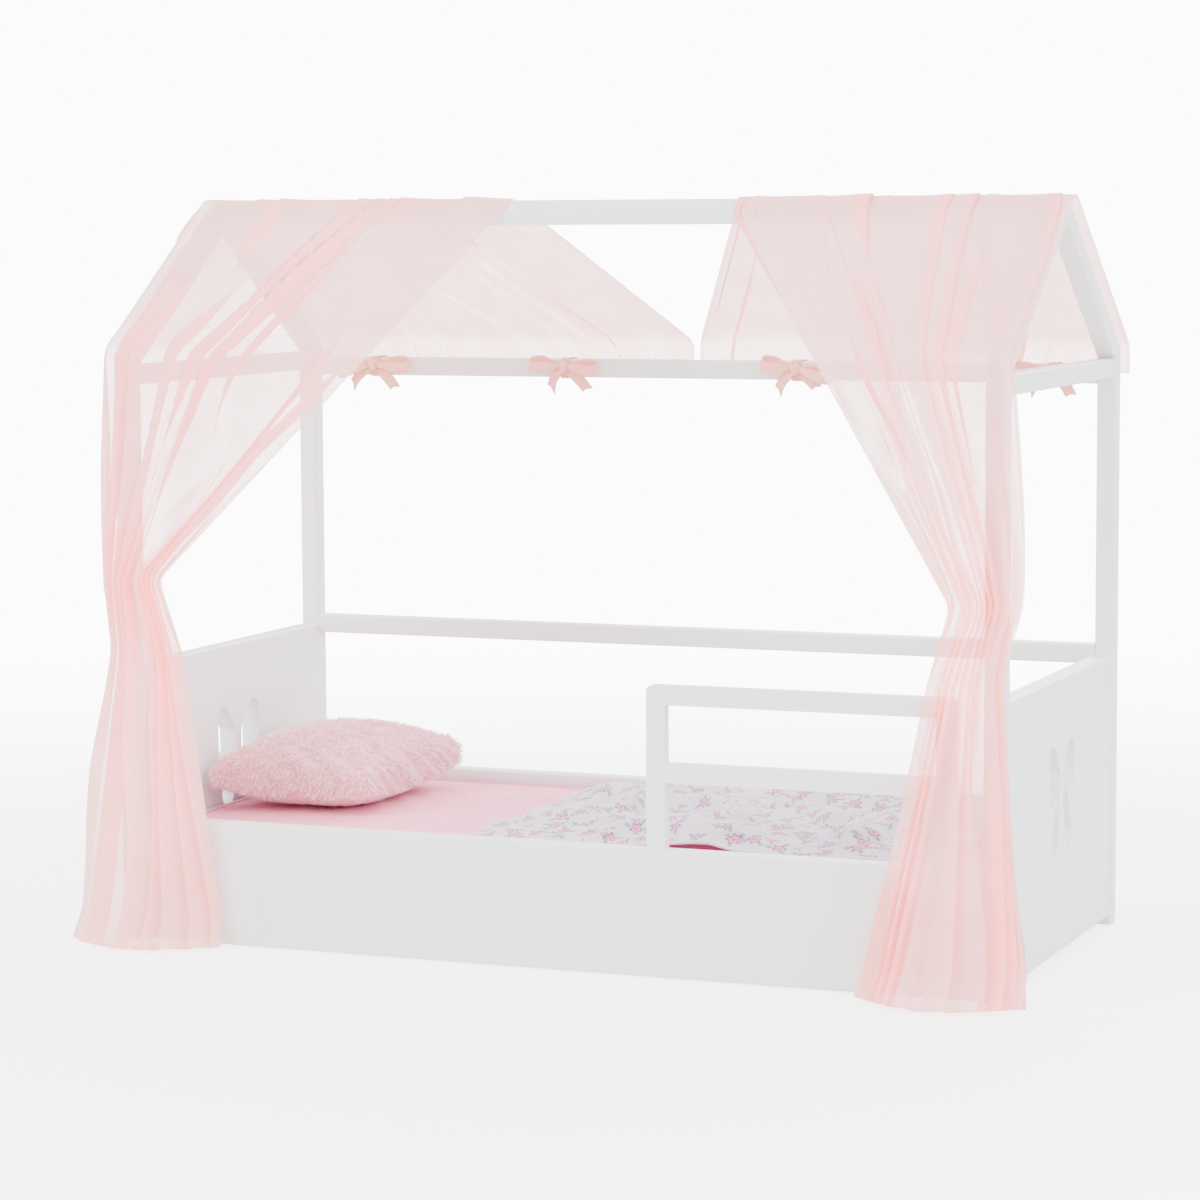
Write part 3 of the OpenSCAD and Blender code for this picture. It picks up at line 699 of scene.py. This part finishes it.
def strip(name, centres, widths, closed=False):
    """A flat ribbon: a closed skin round the middle line, with the way across it at each point."""
    centres, widths = np.asarray(centres, float), np.asarray(widths, float)
    n, m = len(centres), len(SECTION)
    forward = np.roll(centres, -1, axis=0) - np.roll(centres, 1, axis=0)
    if not closed:
        forward[0], forward[-1] = centres[1] - centres[0], centres[-1] - centres[-2]
    up = unit(np.cross(forward, widths)) * RIBBON_THICKNESS
    vertices = [centres[k] + widths[k] * a + up[k] * b for k in range(n) for a, b in SECTION]
    faces = grid_faces(n, m, wrap_rows=closed, wrap_columns=True)
    if not closed:
        faces += [tuple(reversed(range(m))), tuple((n - 1) * m + k for k in range(m))]
    return new_mesh(name, vertices, faces)


def join(name, pieces):
    """One object out of several."""
    bpy.ops.object.select_all(action="DESELECT")
    for piece in pieces:
        piece.select_set(True)
    bpy.context.view_layer.objects.active = pieces[0]
    bpy.ops.object.join()
    pieces[0].name = name
    pieces[0].data.name = name
    return pieces[0]


def bow_band(x0):
    """The ribbon's turn round the beam."""
    out, corner = 0.0006, 0.0012
    ring = rounded_oblong((beam_low[1] - out, beam_low[2] - out), (beam_high[1] + out, beam_high[2] + out),
                          corner, 7)
    across = (RIBBON_WIDTH * 0.9, 0, 0)
    return strip("band", [(x0, y, z) for y, z in ring], [across] * len(ring), closed=True)


def bow_loop(rng, x0, front, z0, side, lean):
    """One loop, pinched at the knot and hanging a little at its far end."""
    long = 0.0235 * rng.uniform(0.9, 1.06)
    deep = 0.0084 * rng.uniform(0.85, 1.15)
    rise = math.radians(lean * side + rng.uniform(-5, 9))
    centres, widths = [], []
    for k in range(41):
        round_it = 2 * math.pi * k / 40
        reach = math.sin(round_it / 2) ** 0.8
        x = long * reach
        y = -deep * (1 - 0.55 * reach) * math.sin(round_it) * 0.75
        sag = -0.0016 * reach ** 2 - 0.0021 * math.sin(round_it)
        centres.append((x0 + side * (0.0018 + x * math.cos(rise)), front - 0.0046 + y,
                        z0 + x * math.sin(rise) + sag))
        wide = RIBBON_WIDTH * (0.42 + 0.58 * smoothstep(reach / 0.55))
        tilt = 0.35 * math.sin(round_it)
        widths.append((-side * wide * math.sin(rise), wide * math.sin(tilt) * 0.6, wide * math.cos(rise)))
    return strip("loop", centres, widths)


def bow_tail(rng, x0, front, z0, side):
    """One tail, curling a little, its end cut on the slant."""
    fall = math.radians(-50 + rng.uniform(-16, 14))
    long = 0.0195 * rng.uniform(0.75, 1.2)
    centres, widths = [], []
    for k in range(25):
        f = k / 24
        curl = 0.0016 * math.sin(3.6 * f + rng.uniform(0, 0.05) + side)
        x = long * f * math.cos(fall) + 0.002 * math.sin(3 * f)
        y = front - 0.0030 - 0.0012 * math.sin(math.pi * f) + curl * 0.5
        centres.append((x0 + side * (0.001 + x), y, z0 - 0.001 + long * f * math.sin(fall)))
        wide = RIBBON_WIDTH * (0.45 + 0.55 * smoothstep(f / 0.35))
        widths.append((wide * math.sin(-fall) * side, RIBBON_WIDTH * 0.25 * math.sin(2.5 * f),
                       wide * math.cos(fall)))
    tail = strip("tail", centres, widths)
    onwards = (Vector(centres[-1]) - Vector(centres[-4])).normalized()
    for v in tail.data.vertices[-len(SECTION):]:
        away = (Vector(v.co) - Vector(centres[-1])).dot(Vector(widths[-1]).normalized())
        v.co += onwards * away * 0.8 * side
    return tail


def bow_knot(x0, front, z0):
    """A short pinched wrap with creases."""
    rows, columns = 17, 28
    long, radius = 0.0058, 0.0040
    knot = []
    for r in range(rows):
        f = r / (rows - 1)
        bulge = math.sin(math.pi * f) ** 0.35 if 0 < f < 1 else 0.05
        for c in range(columns):
            a = 2 * math.pi * c / columns
            crease = 1 - 0.07 * math.sin(3 * math.pi * f + 1.2 * math.sin(a)) ** 2
            knot.append((x0 + (f - 0.5) * long + 0.0004 * math.sin(a * 2),
                         front - radius + 0.0033 * bulge * crease * math.cos(a),
                         z0 + radius * bulge * crease * math.sin(a)))
    faces = grid_faces(rows, columns, wrap_columns=True)
    faces += [tuple(range(columns))[::-1], tuple((rows - 1) * columns + c for c in range(columns))]
    return new_mesh("knot", knot, faces)


def ribbon_bow(node, seed, lean):
    """A hand-tied bow: a band round the beam, a pinched knot, two loops and two tails."""
    rng = np.random.default_rng(seed)
    low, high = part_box(node)
    x0 = (low[0] + high[0]) / 2
    front = beam_low[1] - 0.0009
    z0 = (beam_low[2] + beam_high[2]) / 2 + 0.001
    made = [bow_band(x0)]
    made += [bow_loop(rng, x0, front, z0, side, lean) for side in (-1, 1)]
    made += [bow_tail(rng, x0, front, z0, side) for side in (-1, 1)]
    made.append(bow_knot(x0, front, z0))
    bow = join(node + "_ribbon", made)
    bow.data.materials.clear()
    bow.data.materials.append(ribbon_cloth)
    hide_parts(node)
    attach(bow, "frame")


# ---------------------------------------------------------------- mattress


def slab_outline(half_x, half_y, radius, pull, count):
    """Points evenly round a rounded oblong whose sides pull in between the corners."""
    path = rounded_oblong((-half_x, -half_y), (half_x, half_y), radius, 9)
    path = np.array(path + [path[0]])
    length = np.concatenate([[0], np.cumsum(np.linalg.norm(np.diff(path, axis=0), axis=1))])
    where = np.linspace(0, length[-1], count, endpoint=False)
    xy = np.stack([np.interp(where, length, path[:, k]) for k in range(2)], axis=-1)
    inward = np.where(np.abs(xy[:, :1]) / half_x > np.abs(xy[:, 1:]) / half_y,
                      np.sign(xy) * np.array([1.0, 0.0]) * np.cos(math.pi / 2 * xy[:, 1:] / half_y),
                      np.sign(xy) * np.array([0.0, 1.0]) * np.cos(math.pi / 2 * xy[:, :1] / half_x))
    return xy - inward * pull


def slab_rings(edge, half_y, bottom, seam_bottom, seam_top):
    """Rings of points, as outlines and heights, from the middle of the underside to that of the top."""
    around = np.arange(len(edge)) / len(edge)
    pucker, dimple = ripples(41, 8, 6.0, 16.0), ripples(42, 8, 1.5, 5.0)
    rings = []
    for f in np.arange(25) / 24:                                 # underside, from the middle outwards
        rings.append((edge * f, bottom + (seam_bottom - bottom) * f ** 4 + 0 * around))
    for f in np.arange(1, 16) / 16:                              # side wall
        bulge = math.sin(math.pi * f)
        swell = 1 + 0.0008 / half_y * bulge - 0.0012 / half_y * (1 - bulge)
        crinkle = 0.00035 * pucker(around * 3, f * 0.4) * bulge
        level = lerp(seam_bottom, seam_top, f) + 0 * around
        rings.append((edge * (swell + crinkle[:, None] / half_y), level))
    for f in np.arange(48, -1, -1) / 48:                         # top, from the edge inwards
        crown = 1 - f ** 5
        hollow = 0.00055 * (dimple(edge[:, 0] * f * 8, edge[:, 1] * f * 8) - 1) * crown
        gathers = 0.00045 * pucker(around * 6, 0.2) * smoothstep((f - 0.86) / 0.12) * (1 - f) * 8
        rings.append((edge * f, seam_top + 0.0029 * crown + hollow + gathers))
    return rings


def make_mattress():
    """A foam slab in a fitted cover: domed top and bottom, soft bulging sides, piped edges."""
    half_x, half_y = (mattress_high[0] - mattress_low[0]) / 2, (mattress_high[1] - mattress_low[1]) / 2
    cx, cy = (mattress_high[0] + mattress_low[0]) / 2, (mattress_high[1] + mattress_low[1]) / 2
    bottom, top = mattress_low[2], mattress_high[2]
    piping = 0.0012
    count = 320
    edge = slab_outline(half_x - piping, half_y - piping, 0.012, 0.0016, count)
    seam_top, seam_bottom = top - 0.0030, bottom + 0.0024
    rings = slab_rings(edge, half_y, bottom, seam_bottom, seam_top)
    vertices = [(cx, cy, rings[0][1].mean())]
    for xy, z in rings[1:-1]:
        vertices += [(cx + a, cy + b, min(c, top)) for (a, b), c in zip(xy, z)]
    vertices.append((cx, cy, min(rings[-1][1].mean(), top)))
    last = len(vertices) - 1
    faces = [(0, 1 + (c + 1) % count, 1 + c) for c in range(count)]
    faces += [tuple(1 + k for k in f) for f in grid_faces(len(rings) - 2, count, wrap_columns=True)]
    faces += [(last - count + c, last - count + (c + 1) % count, last) for c in range(count)]
    slab = new_mesh("mattress_cover", vertices, faces)
    slab.data.materials.append(mattress_material())
    cord_finish = piping_material()
    path = edge * (1 + 0.0003 / half_y)
    ahead = np.roll(path, -1, axis=0) - np.roll(path, 1, axis=0)
    out = unit(np.stack([ahead[:, 1], -ahead[:, 0], 0 * ahead[:, 0]], axis=-1))
    radii = piping * (1 + 0.05 * np.sin(np.arange(count) * 1.7))
    trims = []
    for name, z in (("mattress_piping_top", seam_top), ("mattress_piping_bottom", seam_bottom)):
        line = np.column_stack([cx + path[:, 0], cy + path[:, 1], np.full(count, z)])
        trim = round_cord(name, line, out, radii)
        trim.data.materials.append(cord_finish)
        trims.append(trim)
    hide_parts("mattress")
    for piece in (slab, *trims):
        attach(piece, "mattress")


# ---------------------------------------------------------------- cloth simulation


def simulate(piece, frames, **settings):
    """Run the cloth for some frames without gravity, and give where its points end up."""
    scene = bpy.context.scene
    bpy.context.view_layer.objects.active = piece
    cloth = piece.modifiers.new("cloth", "CLOTH")
    cloth.settings.effector_weights.gravity = 0.0
    for key, value in settings.items():
        setattr(cloth.settings, key, value)
    cloth.point_cache.frame_start, cloth.point_cache.frame_end = 1, frames
    for f in range(1, frames + 1):
        scene.frame_set(f)
    shaped = piece.evaluated_get(bpy.context.evaluated_depsgraph_get())
    points = np.array([v.co for v in shaped.data.vertices], float)
    piece.modifiers.remove(cloth)
    scene.frame_set(1)
    return points


# ---------------------------------------------------------------- pillow

FUR_ROOM = 0.0045     # left for the fur between the stuffed pillow and its box


def pillow_panels(half):
    """Two panels sewn together round the rim, a little apart in the middle: vertices and faces."""
    nx, ny = 41, 53
    gx, gy = np.meshgrid(np.linspace(-1, 1, nx), np.linspace(-1, 1, ny), indexing="ij")
    plump = (1 - np.abs(gx) ** 3) * (1 - np.abs(gy) ** 3)
    # corners pulled out, sides pulled in
    pull = 1 - 0.05 * (np.cos(gx * math.pi / 2) + np.cos(gy * math.pi / 2)) * 0.5
    x, y = gx * half[0] * 0.92 * pull, gy * half[1] * 0.92 * pull
    vertices, index = [], {}
    for layer in (1, -1):
        for i in range(nx):
            for j in range(ny):
                rim = i in (0, nx - 1) or j in (0, ny - 1)
                if rim and (0, i, j) in index:
                    continue
                index[(0 if rim else layer, i, j)] = len(vertices)
                height = 0 if rim else 0.005 + 0.010 * plump[i, j]
                vertices.append((x[i, j], y[i, j], layer * height))

    def at(layer, i, j):
        return index.get((0, i, j), index.get((layer, i, j)))

    faces = []
    for i in range(nx - 1):
        for j in range(ny - 1):
            corners = ((i, j), (i + 1, j), (i + 1, j + 1), (i, j + 1))
            faces.append(tuple(at(1, *p) for p in corners))
            faces.append(tuple(reversed([at(-1, *p) for p in corners])))
    return vertices, faces


def pillow_form():
    """The stuffed pillow: two panels blown up by the cloth solver, then fitted into the CAD's box."""
    low, high = (np.array(v, float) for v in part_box("pillow"))
    centre, size = (low + high) / 2, high - low
    pillow = new_mesh("pillow_plush", *pillow_panels(size[:2] / 2 - FUR_ROOM))
    start = np.array([v.co for v in pillow.data.vertices], float)
    shape = simulate(pillow, 20, use_pressure=True, uniform_pressure_force=4.0, mass=0.3,
                     tension_stiffness=25, compression_stiffness=25, bending_stiffness=1.5)
    # no point ends up further than this from where it started
    farthest = 0.022
    moved = shape - start
    far = np.linalg.norm(moved, axis=1, keepdims=True)
    shape = start + moved * np.minimum(1, farthest / np.maximum(far, 1e-9))
    span = shape.max(axis=0) - shape.min(axis=0)
    inner = size - 2 * FUR_ROOM
    shape = (shape - (shape.max(axis=0) + shape.min(axis=0)) / 2) / span * inner
    # it sinks a little where it lies
    seat = -inner[2] * 0.36
    shape[:, 2] = np.where(shape[:, 2] < seat, seat + (shape[:, 2] - seat) * 0.25, shape[:, 2])
    lowest = shape[:, 2].min()
    shape[:, 2] = (shape[:, 2] - lowest) / (shape[:, 2].max() - lowest) * (size[2] - FUR_ROOM - 0.0008)
    shape += np.array([centre[0], centre[1], low[2] + 0.0006])
    for v, p in zip(pillow.data.vertices, shape):
        v.co = p
    refine = pillow.modifiers.new("smooth", "SUBSURF")
    refine.levels = refine.render_levels = 1
    bpy.context.view_layer.objects.active = pillow
    bpy.ops.object.modifier_apply(modifier=refine.name)
    pillow.data.materials.append(plush_base_material())
    return pillow


def plush(pillow, count, seed):
    """Short soft fur: tapering strands rooted all over the pillow, combed down in clumps."""
    rng = np.random.default_rng(seed)
    mesh = pillow.data
    mesh.calc_loop_triangles()
    points = np.array([v.co for v in mesh.vertices], float)
    tris = np.array([t.vertices for t in mesh.loop_triangles])
    a, b, c = (points[tris[:, k]] for k in range(3))
    cross = np.cross(b - a, c - a)
    area = np.linalg.norm(cross, axis=1)
    pick = rng.choice(len(tris), count, p=area / area.sum())
    u, v = rng.random((2, count))
    flip = u + v > 1
    u, v = np.where(flip, 1 - u, u), np.where(flip, 1 - v, v)
    root = a[pick] + u[:, None] * (b - a)[pick] + v[:, None] * (c - a)[pick]
    normal = cross[pick] / area[pick][:, None]
    clump = np.stack([ripples(seed + k, 10, 8.0, 40.0)(root[:, 0] * 2, root[:, 1] * 2 + root[:, 2] * 3)
                      for k in range(3)], axis=-1)
    under = smoothstep((-normal[:, 2] - 0.2) / 0.5)[:, None]
    comb = normal * 0.75 + clump * 0.42 + rng.normal(0, 0.22, (count, 3)) + np.array([0, -0.18, -0.22])
    comb = unit(comb)
    length = rng.uniform(0.0036, 0.0060, (count, 1)) * (1 - 0.75 * under)
    bend = np.array([0, -0.15, -0.5]) * length * 0.5 * (1 - under)
    side = unit(np.cross(comb, rng.normal(0, 1, (count, 3))))
    base_width, mid_width = 0.00027, 0.00021
    root = root - normal * 0.0004
    mid = root + comb * length * 0.55 + bend * 0.3
    tip = root + comb * length + bend
    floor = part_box("pillow")[0][2] + 0.0003
    for p in (mid, tip):
        p[:, 2] = np.maximum(p[:, 2], floor)
    blade = np.stack([root - side * base_width, root + side * base_width, mid - side * mid_width,
                      mid + side * mid_width, tip], axis=1)
    first = np.arange(count)[:, None] * 5
    quads = (first + np.array([0, 1, 3, 2])).tolist()
    ends = (first + np.array([2, 3, 4])).tolist()
    fur = new_mesh("pillow_fur", blade.reshape(-1, 3), quads + ends)
    shade = fur.data.attributes.new("tip", "FLOAT", "POINT")
    # each strand darkens from its tip to its root, partly the plush's own colour and partly painted shade
    # between the strands
    tone = rng.uniform(-0.12, 0.12, (count, 1)) + np.array([0.15, 0.15, 0.7, 0.7, 1.0])
    shade.data.foreach_set("value", tone.astype(np.float32).ravel())
    fur.data.materials.append(fur_material())
    return fur


def make_pillow():
    pillow = pillow_form()
    fur = plush(pillow, 38000, 77)
    for piece in (pillow, fur):
        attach(piece, "pillow")
    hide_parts("pillow")


# ---------------------------------------------------------------- blanket

BLANKET_POINTS = (149, 113)


def blanket_top(gx, gy, low, high):
    """The blanket's upper side: gx and gy are the shares of its length and width."""
    centre, size = (low + high) / 2, high - low
    rumple, wander, wave = ripples(91, 7, 0.5, 1.7), ripples(92, 6, 0.5, 1.6), ripples(93, 8, 2.0, 5.0)
    edge_x, edge_y = np.abs(gx - 0.5) * 2, np.abs(gy - 0.5) * 2
    # outline: straight runs that wander, wavier along the front hem
    x = centre[0] + (gx - 0.5) * (size[0] - 0.006) + 0.0014 * wander(gy, gx) * edge_x ** 2
    front = smoothstep((0.35 - gy) / 0.35)
    y = centre[1] + (gy - 0.5) * (size[1] - 0.008) + 0.0016 * wander(gx * 1.3, gy) * front
    # long soft rumples, mostly across the bed, that die out towards the edges
    crease = np.abs(rumple(gx * 1.5 + 0.05 * wave(gy, gx), gy))
    folds = (1 - smoothstep(crease / 0.75)) * 0.0080 * (0.15 + 0.85 * smoothstep(gy / 0.16))
    loft = 0.0058 * (1 - edge_x ** 6) * (1 - edge_y ** 6)
    puff = 0.0010 * (1 + wave(gx * 1.5, gy * 1.5)) * smoothstep(gy / 0.12)
    z = low[2] + 0.0016 + loft * (0.75 + 0.25 * wander(gx, gy))
    z = z + folds * (1 - edge_x ** 4) + puff * (1 - edge_y ** 8)
    # the front hem lies down, but for one long low arch by the guard rail
    arch = smoothstep(1 - np.abs(gx - 0.49) / 0.19) + 0.2 * smoothstep(1 - np.abs(gx - 0.84) / 0.12)
    lifted = 0.0044 * arch * smoothstep((0.30 - gy) / 0.30)
    z = np.clip(z + lifted, low[2] + 0.0014, high[2] + 0.008)
    return np.stack([x, y, z], axis=-1).reshape(-1, 3)


def rolled_hem(path, floor_z):
    """The hem: an uneven cord along the blanket's rim, flat where it lies on the mattress."""
    path = (np.roll(path, 1, axis=0) + 2 * path + np.roll(path, -1, axis=0)) / 4
    ahead = unit(np.roll(path, -1, axis=0) - np.roll(path, 1, axis=0))
    out = unit(np.cross(ahead, np.array([0, 0, 1.0])))
    k = np.arange(len(path))
    radii = 0.0011 + 0.00016 * np.sin(k * 0.9) * np.sin(k * 0.23)
    hem = round_cord("blanket_hem", path, out, radii, widen=1.15)
    for v in hem.data.vertices:
        v.co.z = max(v.co.z, floor_z)
    hem.data.materials.append(cotton_material("blanket_hem_white", (0.80, 0.78, 0.84), (0.86, 0.85, 0.88)))
    return hem


def make_blanket():
    """A lined cotton blanket laid loosely: printed outside, pink lining, a rolled white hem all round."""
    low, high = (np.array(v, float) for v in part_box("blanket"))
    flat_size = (0.305, 0.230)
    thickness = 0.0011
    nx, ny = BLANKET_POINTS
    gx, gy = np.meshgrid(np.linspace(0, 1, nx), np.linspace(0, 1, ny), indexing="ij")
    top = blanket_top(gx, gy, low, high)
    below = top - np.array([0, 0, thickness])
    count = nx * ny
    faces_top = [tuple(reversed(f)) for f in grid_faces(nx, ny)]
    faces_low = [tuple(k + count for k in f) for f in grid_faces(nx, ny)]
    rim = ([(i, 0) for i in range(nx - 1)] + [(nx - 1, j) for j in range(ny - 1)]
           + [(i, ny - 1) for i in range(nx - 1, 0, -1)] + [(0, j) for j in range(ny - 1, 0, -1)])
    ring = [i * ny + j for i, j in rim]
    faces_rim = [(a, b, b + count, a + count) for a, b in zip(ring, ring[1:] + ring[:1])]
    cover = new_mesh("blanket_cover", np.concatenate([top, below]), faces_top + faces_low + faces_rim)
    cover.data.materials.append(print_material())
    cover.data.materials.append(cotton_material("blanket_lining", (0.88, 0.36, 0.58), (0.93, 0.46, 0.66)))
    for k, face in enumerate(cover.data.polygons):
        face.material_index = 1 if k >= len(faces_top) else 0
    hem = rolled_hem((top[ring] + below[ring]) / 2, low[2] + 0.0002)
    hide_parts("blanket")
    # where each point lies on the flat cloth, so that the print follows the folds
    cloth = np.stack([gx * flat_size[0], gy * flat_size[1], 0 * gx], axis=-1).reshape(-1, 3)
    spots = cover.data.attributes.new("cloth", "FLOAT_VECTOR", "POINT")
    spots.data.foreach_set("vector", np.concatenate([cloth, cloth]).astype(np.float32).ravel())
    for piece in (cover, hem):
        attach(piece, "blanket")


# ---------------------------------------------------------------- the whole bed

make_camera()
make_world()
area_light("key", (-1.6, -2.2, 2.4), (0, 0, 0.25), 1.6, 125, (1.0, 0.985, 0.97))
area_light("fill", (2.4, -1.2, 1.3), (0, 0, 0.2), 1.8, 56, (0.95, 0.98, 1.0))
area_light("back", (0.3, 2.4, 1.6), (0, 0, 0.3), 2.2, 130, (1.0, 1.0, 1.0))
make_floor()
paint_timber()
tulle_cloth = tulle_material()
tulle("canopy_tulle_left", "canopy_left", -1, LEFT_EDGE, 19)
tulle("canopy_tulle_right", "canopy_right", 1, RIGHT_EDGE, 12)
ribbon_cloth = ribbon_material()
ribbon_bow("bow_far_left", 1, 4)
ribbon_bow("bow_left", 2, -3)
ribbon_bow("bow_right", 3, -9)
ribbon_bow("bow_far_right", 4, 3)
make_mattress()
make_pillow()
make_blanket()
